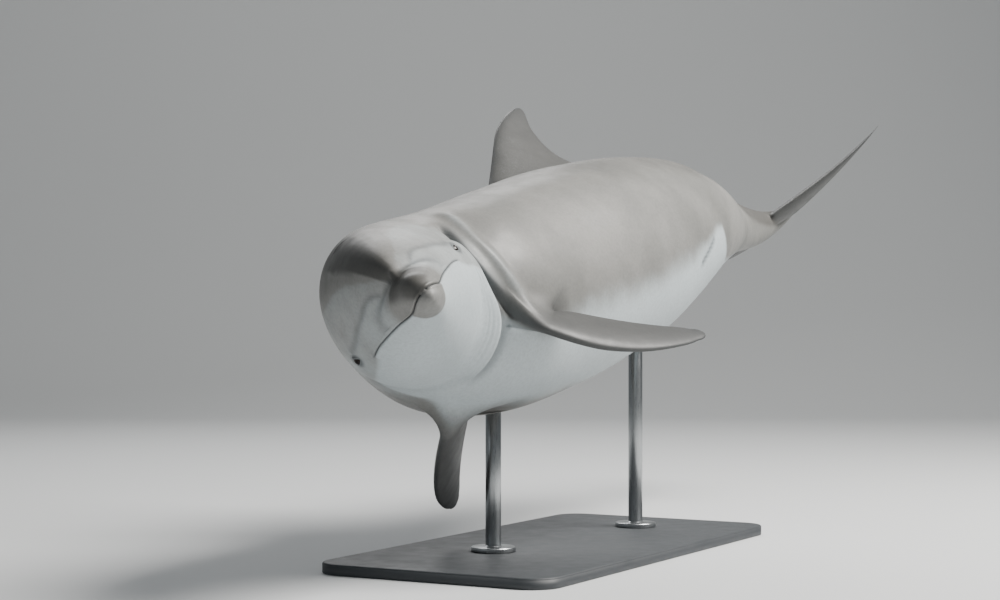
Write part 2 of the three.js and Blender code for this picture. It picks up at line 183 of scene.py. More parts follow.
def oval_radius(half, top, bottom, core, angle):
    """Distance from the core to an oval of this half width, top and bottom, along the angle."""
    height = np.where(np.sin(angle) >= 0, top - core, core - bottom)
    return 1 / np.hypot(np.cos(angle) / np.maximum(half, 1e-3), np.sin(angle) / np.maximum(height, 1e-3))


def body_radii(at, angle):
    """Core height, and the radii of the trunk with its melon and of the beak."""
    core = np.interp(at, CORE[:, 0], CORE[:, 1])
    behind = at - MELON_FRONT
    lift = 46 * np.clip(1 - behind / 170, 0, 1) ** 1.5
    trunk = oval_radius(
        trunk_half(at) * dome(behind / 290, 1.75, 1.75),
        lift + (trunk_back(at) - lift) * dome(behind / 240, 2, 2.1),
        lift + (trunk_belly(at) - lift) * dome(behind / 250, 2, 1.6),
        core, angle,
    )
    ahead = np.maximum(at, 0)
    beak = oval_radius(
        (23 + 0.31 * ahead) * dome((at + 7) / 40),
        np.where(at < 0, CORE[0, 1] + 13 * dome((at + 7) / 12), 32 * dome(at / 40) + 0.17 * ahead),
        -(14 + 22 * dome((at + 7) / 45) + 0.22 * ahead),
        core, angle,
    )
    return core, np.where(behind > 0, trunk, 0), np.where(at < 400, beak, 0)


def straight(at, angle):
    """The bare oval body: the larger of trunk and beak, run together softly where they meet."""
    core, trunk, beak = body_radii(at, angle)
    both = (trunk > 0) & (beak > 0)
    meet = np.where(both, np.exp(-np.abs(trunk - beak) / 12), 0) * np.clip((400 - at) / 80, 0, 1)
    radius = np.maximum(trunk, beak) + 6 * meet
    radius = radius * np.sqrt(np.clip(1 - ((at - 2392) / 15) ** 2 * (at > 2392), 0, 1))
    return radius * np.cos(angle), core + radius * np.sin(angle)


# ---- The spine -------------------------------------------------------------------------------


def head_frame():
    """Unit rows back, left and up of the head, from its turn, its raise and its bank."""
    turn, raise_, bank = HEAD_ANGLES
    facing = np.array([
        np.sin(turn) * np.cos(raise_), -np.cos(turn) * np.cos(raise_), np.sin(raise_),
    ])
    level = np.cross([0, 0, 1], facing)
    level /= np.linalg.norm(level)
    upright = np.cross(facing, level)
    left = level * np.cos(bank) + upright * np.sin(bank)
    return np.array([-facing, left, upright * np.cos(bank) - level * np.sin(bank)])


def bend_spine():
    """Spine points and frames every STEP: each frame is the last one turned by the three bends."""
    rows = head_frame()
    point = SNOUT + rows[0] * (BEAK_TIP - STEP)
    stations = np.arange(BEAK_TIP - STEP, LENGTH + 160, STEP)
    points, frames = [], []
    for at in stations:
        points.append(point)
        frames.append(rows)
        middle = at + STEP / 2
        share = 0 if middle < BEND[0, 0] else STEP / 1000
        down, side, twist = (share * np.interp(middle, BEND[:, 0], BEND[:, c]) for c in (1, 2, 3))
        axis = rows[0] * twist - rows[1] * down - rows[2] * side
        turn = np.linalg.norm(axis)
        unit = axis / max(turn, 1e-12)
        turned = rows * np.cos(turn) + np.cross(unit, rows) * np.sin(turn)
        turned = turned + np.outer(rows @ unit, unit) * (1 - np.cos(turn))
        point = point + (rows[0] + turned[0]) * STEP / 2
        rows = turned
    return stations, np.array(points), np.array(frames)


STATIONS, SPINE, FRAMES = bend_spine()


def spine_at(at):
    """The spine's point and its rows back, left and up at these stations."""
    place = (np.asarray(at, float) - STATIONS[0]) / STEP
    i = np.clip(np.floor(place).astype(int), 0, len(STATIONS) - 2)
    share = (place - i)[..., None]
    points = SPINE[i] * (1 - share) + SPINE[i + 1] * share
    return points, FRAMES[i] * (1 - share[..., None]) + FRAMES[i + 1] * share[..., None]


def bent(at, side, height):
    """Points of the straight body taken to their place in the bent one."""
    at, side, height = np.broadcast_arrays(at, side, height)
    points, rows = spine_at(at)
    return points + rows[..., 1, :] * side[..., None] + rows[..., 2, :] * height[..., None]


def unit(vectors):
    return vectors / np.maximum(np.linalg.norm(vectors, axis=-1, keepdims=True), 1e-9)


# ---- Skin relief -----------------------------------------------------------------------------

# The step behind the throat on the left, where the neck is turned: degrees and station along it.
THROAT_EDGE = np.array([[-100, 482], [-89, 486], [-69, 488], [-52, 480], [-39, 455], [-29, 428], [-11, 414], [12, 400]])
# Folds along the same side: degrees and station along the line, then depth, width and front lip.
# A fold of less than no depth is a ridge.
FOLDS = [
    # the dark groove from behind the left eye down to the flipper
    (np.array([[-59, 562], [-48, 511], [-36, 475], [-27, 447], [-16, 426], [-3, 420], [7, 430], [16, 441], [28, 455]]), 12, 12, 0),
    # the muscle that stands up behind it
    (np.array([[-54, 596], [-39, 545], [-25, 516], [-11, 500], [-2, 494], [8, 495], [19, 509], [36, 530]]), -7, 18, 0),
    # the shallow crease round the throat
    (np.array([[-165, 398], [-140, 416], [-120, 436], [-100, 452], [-86, 474]]), 2, 9, 0.5),
]


def fold_distance(at, angle, line):
    """Signed distance behind a fold's line, and how present the fold is at this angle."""
    degrees = np.degrees(np.arctan2(np.sin(angle), np.cos(angle)))
    low, high = line[0, 0], line[-1, 0]
    along = spline(line)(degrees)
    presence = smooth(degrees, low - 6, low + 10) * (1 - smooth(degrees, high - 10, high + 6))
    return at - along, presence


def lines_of_face(at, angle, side, height):
    """The mouth's line and the crease round the melon: distance from each, and its presence."""
    mouth = height - mouth_height(at)
    mouth_here = 1 - smooth(at, MOUTH_CORNER - 4, MOUTH_CORNER + 12)
    _, trunk, beak = body_radii(at, angle)
    crease = np.where(at > MELON_FRONT, trunk - beak, -60)
    crease_here = (height > mouth_height(at) + 8) * (1 - smooth(at, 130, 190))
    return mouth, mouth_here, crease, crease_here


def side_slit(at, fall):
    """Distance from the short slit on either side of the vent, in mm, and half its width."""
    inside = smooth(at, 1296, 1325) * (1 - smooth(at, 1405, 1432))
    line = np.interp(at, [1300, 1350, 1390, 1425], [-61, -55, -50, -45])
    return np.hypot((fall - line) * 3.2, 40 * (1 - inside)), 7


def relief(at, angle, side, height, shape):
    """Height of the skin over the bare body, in mm: a sum of grooves, lips and soft swellings.

    A groove is a bell curve of the distance from its line, taken away; a lip is one added beside it.
    """
    mouth, mouth_here, crease, crease_here = lines_of_face(at, angle, side, height)
    rise = -shape.mouth_depth * bell(mouth, 1.7) * mouth_here
    rise += shape.lip_height * (bell(mouth - 5, 3.2) + bell(mouth + 5, 3.2)) * mouth_here
    rise -= 2.2 * bell(crease, 9) * crease_here
    degrees = np.degrees(np.arctan2(np.sin(angle), np.cos(angle)))
    distance, presence = fold_distance(at, angle, THROAT_EDGE)
    swell = smooth(distance, -120, -16) - smooth(distance, -16, 7)
    bunched = bell(distance + 42, 26) * np.cos(distance * 2 * np.pi / 19)
    rise += shape.fold_depth * presence * (9 * swell - 6 * bell(distance - 9, 12) + 0.7 * bunched)
    for line, depth, width, lip in FOLDS:
        distance, presence = fold_distance(at, angle, line)
        rise -= shape.fold_depth * depth * bell(distance, width) * presence
        rise += shape.fold_depth * lip * bell(distance + 1.9 * width, 1.3 * width) * presence
    # blowhole: a crescent whose ends point forwards, with a low rim
    back = at - 322 + side**2 / 28
    inside = (1 - smooth(np.abs(side), 15, 20)) * (height > 60)
    rise -= 4.5 * bell(back, 2.6) * inside
    rise += 1.2 * (bell(back - 8, 6) + bell(back + 8, 6)) * inside
    # ear holes, slit and navel
    rise -= 1.6 * bell(np.hypot(at - 384, height + 8), 2.6) * (np.abs(side) > 60)
    middle = bell(side, 3.5) * (height < 0)
    rise -= 5 * middle * smooth(at, 1452, 1466) * (1 - smooth(at, 1560, 1574))
    rise -= 2.5 * bell(np.hypot(at - 1180, side), 9) * (height < 0)
    rise -= 2 * middle * smooth(at, 1606, 1612) * (1 - smooth(at, 1630, 1640))
    fall = np.where(np.abs(degrees) > 90, 180 - np.abs(degrees), np.abs(degrees)) * np.sign(degrees)
    rise -= 3 * bell(*side_slit(at, fall))
    # shoulder, the long muscle beside the spine and the soft unevenness of the flank
    rise += 5 * bell(at - 600, 80) * bell(np.abs(degrees + 5) - 0, 28)
    rise += 5 * bell(at - 600, 80) * bell(np.abs(degrees) - 175, 28)
    along_flank = smooth(at, 650, 900) * (1 - smooth(at, 1900, 2100))
    rise -= 2.6 * along_flank * (bell(degrees - 30, 9) + bell(degrees - 150, 9))
    uneven = np.sin(at / 61 + 2 * np.sin(angle)) * np.sin(angle * 3 + at / 147)
    return rise + 1.1 * uneven * smooth(at, 420, 620) * (1 - smooth(at, 2000, 2200))


def bare_point(at, angle):
    side, height = straight(at, angle)
    return bent(at, side, height)


def bare_normal(at, angle):
    """Outward unit normals of the bare body, from small steps along it and round it."""
    here = bare_point(at, angle)
    along = bare_point(at + 0.4, angle) - here
    around = bare_point(at, angle + 0.004) - here
    return unit(np.cross(along, around)) * OUTWARD


def skin_point(at, angle, shape):
    """Points of the finished skin: the bare body moved along its normal by the relief."""
    side, height = straight(at, angle)
    lift = relief(at, angle, side, height, shape)
    return bent(at, side, height) + bare_normal(at, angle) * lift[..., None]


def _outward():
    """Which way the cross product of the two steps points on the left flank."""
    at, angle = np.array(900.0), np.array(0.0)
    here = bare_point(at, angle)
    step = np.cross(bare_point(at + 1, angle) - here, bare_point(at, angle + 0.01) - here)
    return float(np.sign(step @ (here - spine_at(at)[0])))


OUTWARD = _outward()


# ---- Markings --------------------------------------------------------------------------------


def markings(at, angle, side, height):
    """Shares of the cape, of the pale belly with a painted highlight on a ridge, and of the dark lines with painted
    shade in creases, folds and holes, each 0 to 1, from the place on the body.
    """
    degrees = np.degrees(np.arctan2(np.sin(angle), np.cos(angle)))
    fall = np.where(np.abs(degrees) > 90, 180 - np.abs(degrees), np.abs(degrees)) * np.sign(degrees)
    # cape: a wedge on the melon that widens back over the neck
    edge = np.interp(at, [80, 93, 140, 236, 330, 420, 520, 700, 1400, 1900, 2200], [86, 80, 67, 63, 54, 42, 30, 20, 14, 0, -40])
    soft = np.interp(at, [80, 330, 600], [3, 6, 24])
    strength = np.interp(at, [80, 250, 420, 700, 1900, 2200], [0.3, 0.35, 0.45, 0.45, 0.6, 1])
    cape = smooth(fall, edge - soft, edge + soft) * smooth(at, 84, 98) * strength
    # a lighter streak inside each edge of the wedge
    streak = bell(fall - 70, 3) * smooth(at, 94, 110) * (1 - smooth(at, 280, 330))
    cape = cape * (1 - streak)
    # the middle of the wedge is the darkest; it reaches further down the animal's right, the side in shade, and that
    # wider part is painted shade
    wedge_edge = np.where(side > 0, 81.5, 71)
    wedge = smooth(fall, wedge_edge - 2, wedge_edge + 2) * smooth(at, 84, 98) * (1 - smooth(at, 300, 440))
    cape = np.maximum(cape, wedge)
    # the beak is dark on top and at its tip
    beak = smooth(fall, 8, 50) * (1 - smooth(at, 88, 100)) * smooth(height - mouth_height(at), -1, 3)
    cape = np.maximum(cape, 0.85 * beak)
    # belly: below this line the skin is pale
    rim = np.interp(
        at,
        [-10, 60, 258, 300, 345, 400, 420, 455, 480, 525, 575, 622, 825, 1000, 1190, 1290, 1360, 1450, 1490, 1515, 1560, 1650, 1900],
        [-25, -16, -9, -13, -15, -18, -26, -40, -49, -53, -60, -65, -63, -59, -52, -50, -47, -40, -41, -54, -76, -86, -94],
    )
    spread = np.interp(at, [300, 500, 700, 1250, 1400], [6, 7, 16, 14, 7])
    belly = 1 - smooth(fall, rim - spread, rim + spread)
    stripe = np.interp(at, [104, 145, 193, 273, 332], [50, 45, 27, 13, 9])
    mouth, mouth_here, crease, crease_here = lines_of_face(at, angle, side, height)
    on_beak = at < MOUTH_CORNER
    belly = np.where(on_beak, 1 - smooth(mouth, -4, 1), belly)
    belly = belly * (1 - 0.85 * (1 - smooth(at, 42, 53)) * (mouth < 0))
    # the cheeks, from the beak's root to behind the eye, are paler than the flanks
    cheek = smooth(at, 70, 120) * (1 - smooth(at, 400, 560)) * (1 - smooth(fall, edge - soft - 2, edge))
    belly = np.maximum(belly, (0.34 + 0.12 * (1 - smooth(fall, stripe - 4, stripe + 4))) * cheek)
    # painted shade in the groove of the mouth's line and in the crease round the melon
    dark = bell(mouth, 1.2) * mouth_here
    dark = np.maximum(dark, 0.45 * bell(crease, 5) * crease_here)
    # the wedge also takes a little of the line colour, pigment and painted shade together
    dark = np.maximum(dark, 0.12 * wedge)
    # eye stripe from the beak's root to the eye, and the dark patch round the eye
    here = smooth(at, 100, 125) * (1 - smooth(at, 318, 336))
    dark = np.maximum(dark, 0.45 * bell(fall - stripe, 4) * here)
    around_eye = np.hypot((at - EYE_AT) / 1.5, height - EYE_HEIGHT)
    dark = np.maximum(dark, 0.8 * (1 - smooth(around_eye, 9, 21)) * (np.abs(side) > 60))
    # painted shade in the groove behind the throat's step
    distance, presence = fold_distance(at, angle, THROAT_EDGE)
    dark = np.maximum(dark, 0.5 * bell(distance - 9, 11) * presence)
    # painted shade in each fold's groove, and a painted highlight along the ridge, carried in the pale share
    for line, depth, width, _ in FOLDS:
        distance, presence = fold_distance(at, angle, line)
        dark = np.maximum(dark, 0.065 * max(depth, 0) * bell(distance - 8, width * 1.6) * presence)
        belly = np.maximum(belly, 0.045 * max(-depth, 0) * bell(distance, width * 1.2) * presence)
    # painted shade in the blowhole, the slit under the belly, the ear holes and the short slits beside the vent
    hole = bell(at - 322 + side**2 / 28, 2.6) * (1 - smooth(np.abs(side), 15, 20)) * (height > 60)
    slit = bell(side, 2.5) * (height < 0) * smooth(at, 1452, 1466) * (1 - smooth(at, 1560, 1574))
    ear = bell(np.hypot(at - 384, height + 8), 2.4) * (np.abs(side) > 60)
    dark = np.maximum(dark, np.maximum(np.maximum(hole, slit), ear) * 0.9)
    dark = np.maximum(dark, 0.8 * bell(*side_slit(at, fall)))
    return cape, belly, dark


# ---- Fins ------------------------------------------------------------------------------------


def foil(theta):
    """A blade's section round its chord: share along the chord and lift off it, for angles theta."""
    return (1 - np.cos(theta)) / 2, 0.5 * np.sin(theta) * (1 + 0.35 * np.cos(theta))


def rounded(share, start):
    """1 up to this share of a blade's reach, then falling to 0 at its end like a quarter round."""
    return np.sqrt(1 - np.clip((share - start) / (1 - start), 0, 0.999) ** 2)


def dorsal_fin(share, theta):
    """The dorsal fin: share 0 to 1 runs from its foot to its tip, theta round the section."""
    height = DORSAL[0, 0] + (DORSAL[-1, 0] - DORSAL[0, 0]) * share
    front, rear = spline(DORSAL, 1)(height), spline(DORSAL, 2)(height)
    along, lift = foil(theta)
    chord = (rear - front) * rounded(share, 0.81)
    front = front + 0.5 * (rear - front - chord)
    return bent(front + chord * along, DORSAL_THICK * chord * lift, height)


def flipper(share, theta, sign):
    """A flipper: share runs out along its reach, theta round the section."""
    point, rows = spine_at(FLIPPER_AT)
    root = point + rows[1] * sign * FLIPPER_SIDE + rows[2] * FLIPPER_HEIGHT
    reach, chord = (unit(v @ rows) for v in FLIPPER_POSES[sign])
    first = unit(FLIPPER_ROOT_CHORD @ rows)
    chord = unit(chord - (chord @ reach) * reach)
    turned = smooth(share, 0, FLIPPER_ROOT_UNTIL)[..., None]
    chord = unit(first * (1 - turned) + chord * turned)
    normal = unit(np.cross(reach, chord))
    width = spline(FLIPPER_CHORD)(np.minimum(share, 0.93)) * rounded(share, 0.93)
    inner = np.clip(share, 0, 1)
    middle = -FLIPPER_BOW * np.sin(np.pi * inner)
    thick = width * FLIPPER_THICK * (1 - 0.45 * inner) + FLIPPER_TIP
    along, lift = foil(theta)
    across = (middle + width * (along - 0.5))[..., None]
    return root + reach * (FLIPPER_REACH * share)[..., None] + chord * across + normal * (thick * lift)[..., None]


def fluke(share, theta, sign):
    """A fluke: share 0 to 1 runs from the middle of the tail to its tip, theta round the section."""
    reach = share * 0.985
    front = FLUKE_FRONT + FLUKE_SWEEP * reach**FLUKE_POWER
    lobe = FLUKE_LOBE * (1 - np.exp(-share * FLUKE_SPAN / FLUKE_NOTCH))
    rear = LENGTH + lobe + FLUKE_HOLLOW * np.sin(np.pi * share) + FLUKE_RAKE * share**2
    chord = rear - front
    thick = FLUKE_THICK * chord * (1 - 0.3 * share) + FLUKE_THIN * (1 - share)
    along, lift = foil(theta)
    return bent(front + chord * along, sign * FLUKE_SPAN * reach, FLUKE_RISE * share**2 + thick * lift)


# ---- Building the one skin -------------------------------------------------------------------

COLUMNS = 176


def skin_stations():
    """Stations of the skin's rings, close together on the face and wide apart on the trunk."""
    lower = BEAK_TIP * (1 - np.linspace(0.12, 1, 9)[:-1] ** 2)
    tip = np.concatenate([lower, 30 * np.linspace(0.04, 1, 22) ** 2])
    spans = [(30, 120, 45), (120, 420, 100), (420, 700, 50), (700, 2190, 128), (2190, 2392, 34)]
    runs = [np.linspace(a, b, n + 1)[1:] for a, b, n in spans]
    end = 2392 + 15 * np.sin(np.linspace(0.2, 1.45, 6))
    return np.concatenate([tip, *runs, end])


def column_angles(at):
    """Angles of the skin's lines at each station.

    They are crowded at the height of the mouth, and the middle one of each side lies on the mouth's
    line and then on the eye, so that lips and lids run along the lines of the mesh.
    """
    line = np.where(at < MOUTH_CORNER, mouth_height(at), np.interp(at, [MOUTH_CORNER, EYE_AT], [-12, EYE_HEIGHT]))
    trial = np.radians(np.linspace(-40, 88, 257))
    _, heights = straight(at[:, None], trial[None])
    first = np.argmax(heights > line[:, None], axis=1).clip(1)
    row = np.arange(len(at))
    below, above = heights[row, first - 1], heights[row, first]
    share = np.clip((line - below) / np.maximum(above - below, 1e-6), 0, 1)
    seam = trial[first - 1] + share * (trial[1] - trial[0])
    seam = np.clip(np.degrees(seam), -40, 72) * (1 - smooth(at, 420, 700))
    seam = np.where(at < 0, seam[np.argmax(at > 0)], seam)
    turn = np.arange(COLUMNS) * 2 * np.pi / COLUMNS
    share = np.where(turn <= np.pi, turn, 2 * np.pi - turn) / np.pi
    crowd = 0.62 * (1 - smooth(at, 420, 700))[:, None]
    share = share + crowd * np.sin(2 * np.pi * share) / (2 * np.pi)
    middle = ((seam + 90) / 180)[:, None]
    share = share / (share + (1 - middle) / middle * (1 - share))
    return np.where(turn <= np.pi, share * np.pi, 2 * np.pi - share * np.pi) - np.pi / 2


class Skin:
    """Vertices, faces, markings and UV places gathered while the skin is put together."""

    def __init__(self, shape):
        self.shape = shape
        at = skin_stations()
        angle = column_angles(at)
        at = np.broadcast_to(at[:, None], angle.shape)
        side, height = straight(at, angle)
        self.at, self.angle = at, angle
        self.rows = at.shape[0]
        self.points = [skin_point(at, angle, shape).reshape(-1, 3)]
        self.marks = [np.stack(markings(at, angle, side, height), -1).reshape(-1, 3)]
        around, along = np.meshgrid(np.arange(COLUMNS) / COLUMNS, np.arange(self.rows) / self.rows)
        self.places = [np.stack([around, along * 0.7], -1).reshape(-1, 2)]
        self.count = self.rows * COLUMNS
        self.kept = np.ones((self.rows - 1, COLUMNS), bool)
        self.faces = []
        self.triangles = []

    def close_ends(self):
        """A fan about one point closes the tip of the beak and the end of the tail."""
        for row, station, order in ((0, BEAK_TIP, 1), (self.rows - 1, 2407.0, -1)):
            ring = row * COLUMNS + np.arange(COLUMNS)
            core = np.interp(station, CORE[:, 0], CORE[:, 1])
            middle = bent(np.array(station), 0.0, core)[None]
            self.points.append(middle)
            self.marks.append(self.marks[0][ring].mean(0)[None])
            self.places.append(np.array([[0.5, 0.7 * row / self.rows]]))
            fan = np.stack([ring, np.full(COLUMNS, self.count), np.roll(ring, -1)], -1)
            self.triangles.append(fan[:, ::order])
            self.count += 1

    def opening(self, station, degrees, reach, spread):
        """Take out a block of faces and return the loop round it with its places in -1..1."""
        at = self.at[:, 0]
        first = int(np.searchsorted(at, station - reach))
        last = int(np.searchsorted(at, station + reach))
        last = min(last, self.rows - 2)
        middle = self.angle[(first + last) // 2]
        turn = np.degrees(middle)
        low = int(np.searchsorted(turn, degrees - spread))
        high = int(np.searchsorted(turn, degrees + spread))
        rows, columns = np.arange(first, last + 1), np.arange(low, high + 1)
        self.kept[np.ix_(np.arange(first, last), np.arange(low, high) % COLUMNS)] = False
        loop_row = np.concatenate([
            np.full(len(columns) - 1, first), rows[:-1], np.full(len(columns) - 1, last), rows[:0:-1],
        ])
        loop_column = np.concatenate([
            columns[:-1], np.full(len(rows) - 1, high), columns[:0:-1], np.full(len(rows) - 1, low),
        ])
        across = 2 * (loop_row - first) / (last - first) - 1
        around = 2 * (loop_column - low) / (high - low) - 1
        loop = loop_row * COLUMNS + loop_column % COLUMNS
        here = self.at[loop_row, 0], self.angle[loop_row, loop_column % COLUMNS]
        return loop, across, around, here

    def sprout(self, loop, rings, marks, place):
        """Join rings of points, each as long as the loop, one after the other onto the loop."""
        size = len(loop)
        start = self.count
        self.points.append(rings.reshape(-1, 3))
        self.marks.append(np.broadcast_to(marks, (*rings.shape[:2], 3)).reshape(-1, 3))
        column, row = np.meshgrid(np.arange(size) / size, np.arange(len(rings)) / len(rings))
        corner, extent = np.array(place[:2]), np.array(place[2:])
        self.places.append((corner + np.stack([column, row], -1) * extent).reshape(-1, 2))
        self.count += rings.shape[0] * size
        chain = np.vstack([loop, start + np.arange(rings.shape[0] * size).reshape(-1, size)])
        following = np.roll(chain, -1, axis=1)
        quads = np.stack([chain[:-1], following[:-1], following[1:], chain[1:]], -1)
        self.faces.append(quads.reshape(-1, 4))
        return chain[-1]

    def cap(self, ring, point, mark):
        """Close a fin's last ring about one point."""
        self.points.append(point[None])
        self.marks.append(np.asarray(mark)[None])
        self.places.append(self.places[-1][-1:])
        middle = np.full(len(ring), self.count)
        self.triangles.append(np.stack([ring, np.roll(ring, -1), middle], -1))
        self.count += 1

    def body_faces(self):
        row, column = np.nonzero(self.kept)
        after = (column + 1) % COLUMNS
        return np.stack([
            row * COLUMNS + column, (row + 1) * COLUMNS + column,
            (row + 1) * COLUMNS + after, row * COLUMNS + after,
        ], -1)[:, ::-1]

    def fin(self, block, blade, first, mark, place, rings=30, fillet=9):
        """Grow a blade out of the body.

        The loop and the blade's first ring are joined by cubic curves that leave the body along its
        surface and arrive along the blade; then rings follow the blade out to its tip.
        """
        loop, across, around, here = self.opening(*block)
        start = self.points[0][loop]
        normal = bare_normal(*here)
        theta = np.arctan2(around, -across)
        probe = blade(np.full(len(theta), first), np.array([np.pi / 2] * len(theta)))[0]
        other = blade(np.full(len(theta), first), np.array([-np.pi / 2] * len(theta)))[0]
        upper = start[np.argmax(around - np.abs(across))]
        if np.linalg.norm(probe - upper) > np.linalg.norm(other - upper):
            theta = -theta
        ahead = blade(np.full(len(theta), first), theta)
        leaving = blade(np.full(len(theta), first + 0.01), theta) - ahead
        gap = np.linalg.norm(ahead - start, axis=1, keepdims=True)
        leave = ahead - start
        leave = unit(leave - np.sum(leave * normal, -1, keepdims=True) * normal) * gap
        arrive = unit(leaving) * gap
        t = np.linspace(0, 1, fillet + 1)[1:-1, None, None]
        curve = (2 * t**3 - 3 * t**2 + 1) * start + (t**3 - 2 * t**2 + t) * leave * 0.9
        curve = curve + (3 * t**2 - 2 * t**3) * ahead + (t**3 - t**2) * arrive * 0.9
        out = first + (1 - first) * (1 - (1 - np.linspace(0, 1, rings)) ** 1.5)
        out, turn = np.broadcast_arrays(out[:, None], theta[None])
        grown = np.concatenate([curve, blade(out, turn)])
        share = np.concatenate([np.linspace(0, 1, fillet + 1)[1:-1], np.ones(rings)])[:, None, None]
        reach = np.concatenate([np.zeros(fillet - 1), np.linspace(0, 1, rings)])[:, None]
        blade_marks = mark(reach, theta[None])
        marks = self.marks[0][loop] * (1 - share) + blade_marks * share
        last = self.sprout(loop, grown, marks, place)
        tip = blade(np.array([1.0, 1.0]), np.array([0.0, np.pi])).mean(0)
        self.cap(last, tip, marks[-1, 0])

    def eyelids(self, sign, place):
        """Lids round an eye: the skin closes in on an almond and rises to lie on the eyeball."""
        degrees = 180 - 2.5 if sign < 0 else 2.5
        loop, across, around, (at, angle) = self.opening(EYE_AT, degrees, 25, 8.5)
        centre_angle = np.arctan2(EYE_HEIGHT, sign * trunk_half(EYE_AT))
        radius = np.hypot(*straight(np.array(EYE_AT), centre_angle))
        x0, z0 = at - EYE_AT, sign * (angle - centre_angle) * radius
        # the opening is centred on the point of the cheek nearest to the ball's middle
        centre = eye_centre(sign)
        cheek = skin_point(np.array(EYE_AT), np.array(centre_angle), self.shape)
        outward = bare_normal(np.array(EYE_AT), np.array(centre_angle))
        aside = cheek - centre - ((cheek - centre) @ outward) * outward
        _, rows = spine_at(EYE_AT)
        middle_x, middle_z = -aside @ rows[0], -aside @ rows[2]
        turn = np.arctan2(z0 / 15, x0 / 24)
        length, tall = self.shape.eye_length / 2 / MM, self.shape.eye_height / 2 / MM
        x1 = length * np.cos(turn)
        z1 = tall * np.sign(np.sin(turn)) * np.abs(np.sin(turn)) ** 1.25 + 0.16 * x1
        t = np.linspace(0, 1, 21)[1:, None]
        inner = np.array([[0.95], [0.88], [0.78]])
        x = np.concatenate([x0 * (1 - t) + (x1 + middle_x) * t, x1 * inner + middle_x])
        z = np.concatenate([z0 * (1 - t) + (z1 + middle_z) * t, z1 * inner + middle_z])
        here_at = EYE_AT + x
        here_angle = centre_angle + sign * z / radius
        skin = skin_point(here_at, here_angle, self.shape)
        normal = bare_normal(here_at, here_angle)
        offset = skin - centre
        along = np.sum(offset * normal, -1)

        def lift_to(ball):
            room = along**2 - np.sum(offset**2, -1) + ball**2
            return -along + np.sqrt(np.maximum(room, 0))

        # 0 on an oval round the eye and 1 at the lids' margin
        def from_middle(along_x, along_z):
            return np.hypot(along_x / 23, along_z / 14.5)

        share = 1 - from_middle(x - middle_x, z - middle_z)
        share = np.clip(share / (1 - from_middle(x1, z1)), 0, 1)
        upright = np.abs(np.sin(turn))[None] ** 0.6
        margin = lift_to(EYE_RADIUS + 0.7)[len(t) - 1]
        lift = margin * smooth(share, 0.0, 1.0)
        lift = lift - 0.9 * bell(share - 0.52, 0.09) * upright + 0.5 * bell(share - 0.78, 0.12) * upright
        ball = EYE_RADIUS + np.array([[0.2], [-0.8], [-2.2]])
        lift[-3:] = lift_to(np.concatenate([np.ones((len(t), 1)), ball]))[-3:]
        rings = skin + normal * lift[..., None]
        flat = straight(here_at, here_angle)
        marks = np.stack(markings(here_at, here_angle, *flat), -1)
        pale = bell(share - 0.8, 0.1) * 0.3
        rim = smooth(share, 0.86, 0.95)
        dark = np.maximum(marks[..., 2] * (1 - pale), 0.9 * rim)
        # painted shade in the lids' crease
        marks[..., 2] = np.maximum(dark, 0.55 * bell(share - 0.52, 0.07) * upright)
        self.sprout(loop, rings, marks, place)

    def mesh(self, name):
        """Pack everything into one Blender mesh, leaving out the points no face uses."""
        points = np.concatenate(self.points)
        marks = np.clip(np.concatenate(self.marks), 0, 1)
        places = np.concatenate(self.places)
        quads = np.concatenate([self.body_faces(), *self.faces])
        fans = np.concatenate(self.triangles)
        used, index = np.unique(np.concatenate([quads.ravel(), fans.ravel()]), return_inverse=True)
        quads, fans = index[: quads.size].reshape(-1, 4), index[quads.size:].reshape(-1, 3)
        mesh = mesh_from(name, points[used], quads, fans)
        for column, key in enumerate(("cape", "belly", "dark")):
            layer = mesh.attributes.new(key, "FLOAT", "POINT")
            layer.data.foreach_set("value", marks[used, column].astype(np.float32))
        add_uv(mesh, places[used])
        return mesh


def eye_centre(sign):
    """Middle of an eyeball, sunk below the skin of the cheek."""
    half = trunk_half(EYE_AT)
    side, height = straight(np.array(EYE_AT), np.arctan2(EYE_HEIGHT, sign * half))
    return bent(np.array(EYE_AT), side - sign * EYE_SUNK, height)


# ---- Blender helpers -------------------------------------------------------------------------


def mesh_from(name, points, quads, fans=None):
    """A smooth-shaded mesh in metres from points in millimetres, with quads and then triangles."""
    fans = np.zeros((0, 3), int) if fans is None else fans
    corners = np.concatenate([quads.ravel(), fans.ravel()]).astype(np.int32)
    sizes = np.concatenate([np.full(len(quads), 4), np.full(len(fans), 3)]).astype(np.int32)
    mesh = bpy.data.meshes.new(name)
    mesh.vertices.add(len(points))
    mesh.vertices.foreach_set("co", (points * MM).astype(np.float32).ravel())
    mesh.loops.add(len(corners))
    mesh.loops.foreach_set("vertex_index", corners)
    mesh.polygons.add(len(sizes))
    mesh.polygons.foreach_set("loop_start", np.concatenate([[0], np.cumsum(sizes)[:-1]]).astype(np.int32))
    mesh.polygons.foreach_set("use_smooth", np.ones(len(sizes), bool))
    mesh.update(calc_edges=True)
    mesh.validate()
    return mesh


def add_uv(mesh, places, name="OFBake"):
    """Give every corner the UV place of its vertex."""
    index = np.empty(len(mesh.loops), np.int32)
    mesh.loops.foreach_get("vertex_index", index)
    layer = mesh.uv_layers.new(name=name)
    layer.data.foreach_set("uv", places[index].astype(np.float32).ravel())


def add_object(name, mesh, material):
    """Link a finished mesh at the origin and give it its material."""
    piece = bpy.data.objects.new(name, mesh)
    bpy.context.scene.collection.objects.link(piece)
    piece.data.materials.append(material)
    return piece


